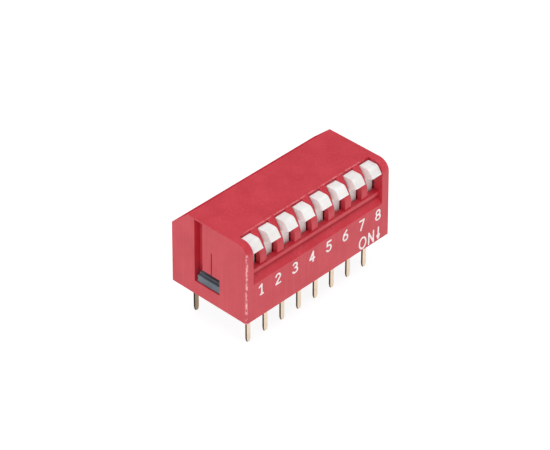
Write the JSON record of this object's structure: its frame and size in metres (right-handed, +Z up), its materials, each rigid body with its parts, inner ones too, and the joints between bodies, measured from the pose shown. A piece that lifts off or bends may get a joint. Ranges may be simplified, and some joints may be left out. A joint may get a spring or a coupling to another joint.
{
  "type": "dip switch",
  "caption": "Piano-style DIP switch: a moulded housing with a row of small rocking levers along its top front edge and two rows of solder terminals below.",
  "frame": {"origin": "on the seating plane, at the centre of the two rows of terminals", "axes": "+X along the row from position 1 to position 8, levers facing -Y, +Z up away from the circuit board"},
  "size_m": [0.0216, 0.0108, 0.0138],
  "materials": {
    "housing": "satin",
    "base": "satin",
    "lever": "satin",
    "wiper": "satin",
    "terminal": "satin"
  },
  "bodies": {
    "body": {"housing": "housing", "base": "base", "front_terminal_1": "terminal", "front_terminal_2": "terminal", "front_terminal_3": "terminal", "front_terminal_4": "terminal", "front_terminal_5": "terminal", "front_terminal_6": "terminal", "front_terminal_7": "terminal", "front_terminal_8": "terminal", "rear_terminal_1": "terminal", "rear_terminal_2": "terminal", "rear_terminal_3": "terminal", "rear_terminal_4": "terminal", "rear_terminal_5": "terminal", "rear_terminal_6": "terminal", "rear_terminal_7": "terminal", "rear_terminal_8": "terminal"},
    "switch_1": {"lever_1": "lever", "wiper_1": "wiper"},
    "switch_2": {"lever_2": "lever", "wiper_2": "wiper"},
    "switch_3": {"lever_3": "lever", "wiper_3": "wiper"},
    "switch_4": {"lever_4": "lever", "wiper_4": "wiper"},
    "switch_5": {"lever_5": "lever", "wiper_5": "wiper"},
    "switch_6": {"lever_6": "lever", "wiper_6": "wiper"},
    "switch_7": {"lever_7": "lever", "wiper_7": "wiper"},
    "switch_8": {"lever_8": "lever", "wiper_8": "wiper"}
  },
  "joints": [
    {"name": "lever_1_rock", "type": "hinge", "parent": "body", "child": "switch_1", "pos_m": [-0.00889, -0.00051, 0.0064], "axis": [1, 0, 0], "range_deg": [0, 20]},
    {"name": "lever_2_rock", "type": "hinge", "parent": "body", "child": "switch_2", "pos_m": [-0.00635, -0.00051, 0.0064], "axis": [1, 0, 0], "range_deg": [0, 20]},
    {"name": "lever_3_rock", "type": "hinge", "parent": "body", "child": "switch_3", "pos_m": [-0.00381, -0.00051, 0.0064], "axis": [1, 0, 0], "range_deg": [0, 20]},
    {"name": "lever_4_rock", "type": "hinge", "parent": "body", "child": "switch_4", "pos_m": [-0.00127, -0.00051, 0.0064], "axis": [1, 0, 0], "range_deg": [0, 20]},
    {"name": "lever_5_rock", "type": "hinge", "parent": "body", "child": "switch_5", "pos_m": [0.00127, -0.00051, 0.0064], "axis": [1, 0, 0], "range_deg": [0, 20]},
    {"name": "lever_6_rock", "type": "hinge", "parent": "body", "child": "switch_6", "pos_m": [0.00381, -0.00051, 0.0064], "axis": [1, 0, 0], "range_deg": [0, 20]},
    {"name": "lever_7_rock", "type": "hinge", "parent": "body", "child": "switch_7", "pos_m": [0.00635, -0.00051, 0.0064], "axis": [1, 0, 0], "range_deg": [0, 20]},
    {"name": "lever_8_rock", "type": "hinge", "parent": "body", "child": "switch_8", "pos_m": [0.00889, -0.00051, 0.0064], "axis": [1, 0, 0], "range_deg": [0, 20]}
  ]
}
